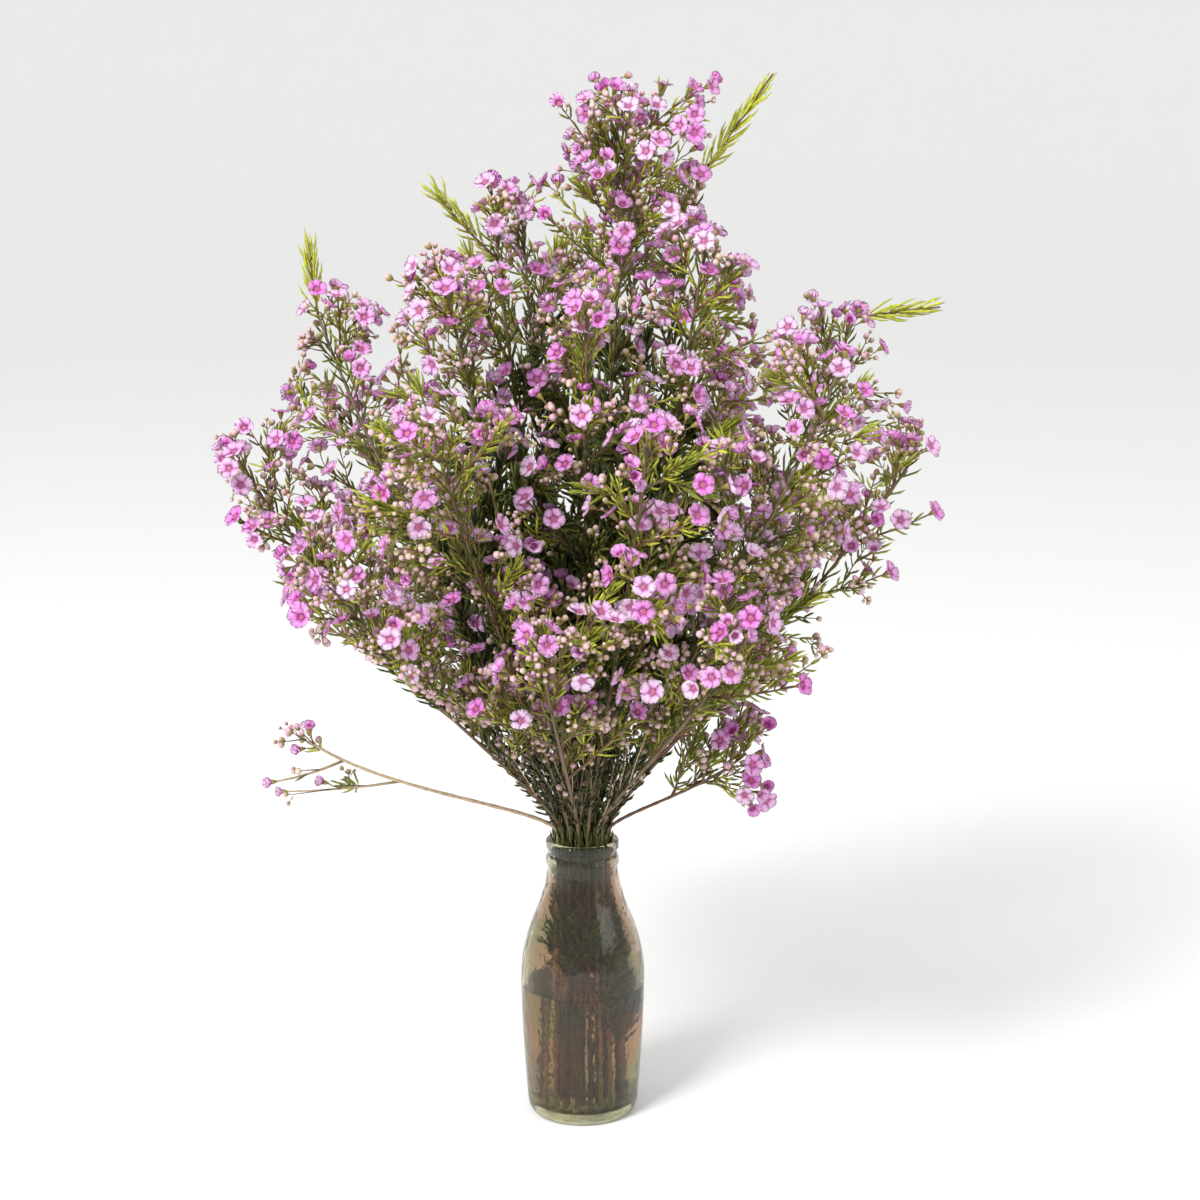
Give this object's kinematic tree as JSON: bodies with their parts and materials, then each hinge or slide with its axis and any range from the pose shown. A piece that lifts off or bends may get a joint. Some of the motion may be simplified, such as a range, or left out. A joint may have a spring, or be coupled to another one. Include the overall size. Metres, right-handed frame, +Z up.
{
  "type": "waxflower bouquet in a glass bottle",
  "caption": "Wide bouquet of waxflower stems with small five-petalled blooms, buds and needle leaves, standing in water in a clear glass bottle.",
  "frame": {"origin": "middle of the flat face under the bottle", "axes": "+Z up along the bottle's axis, -Y towards the bouquet's front, +X to the right seen from the front"},
  "size_m": [0.5146, 0.4826, 0.7576],
  "materials": {
    "glass": "clear pressed glass with a faint smoky tint",
    "water": "clear still water",
    "flowering_stem": "waxy mauve petals and green needles on brown woody twigs"
  },
  "bodies": {
    "root": {"bottle": "glass", "water": "water", "stem_01": "flowering_stem", "stem_02": "flowering_stem", "stem_03": "flowering_stem", "stem_04": "flowering_stem", "stem_05": "flowering_stem", "stem_06": "flowering_stem", "stem_07": "flowering_stem", "stem_08": "flowering_stem", "stem_09": "flowering_stem", "stem_10": "flowering_stem", "stem_11": "flowering_stem", "stem_12": "flowering_stem", "stem_13": "flowering_stem", "stem_14": "flowering_stem", "stem_15": "flowering_stem", "stem_16": "flowering_stem", "stem_17": "flowering_stem", "stem_18": "flowering_stem", "stem_19": "flowering_stem", "stem_20": "flowering_stem", "stem_21": "flowering_stem", "stem_22": "flowering_stem", "stem_23": "flowering_stem", "stem_24": "flowering_stem", "stem_25": "flowering_stem", "stem_26": "flowering_stem"}
  },
  "joints": []
}
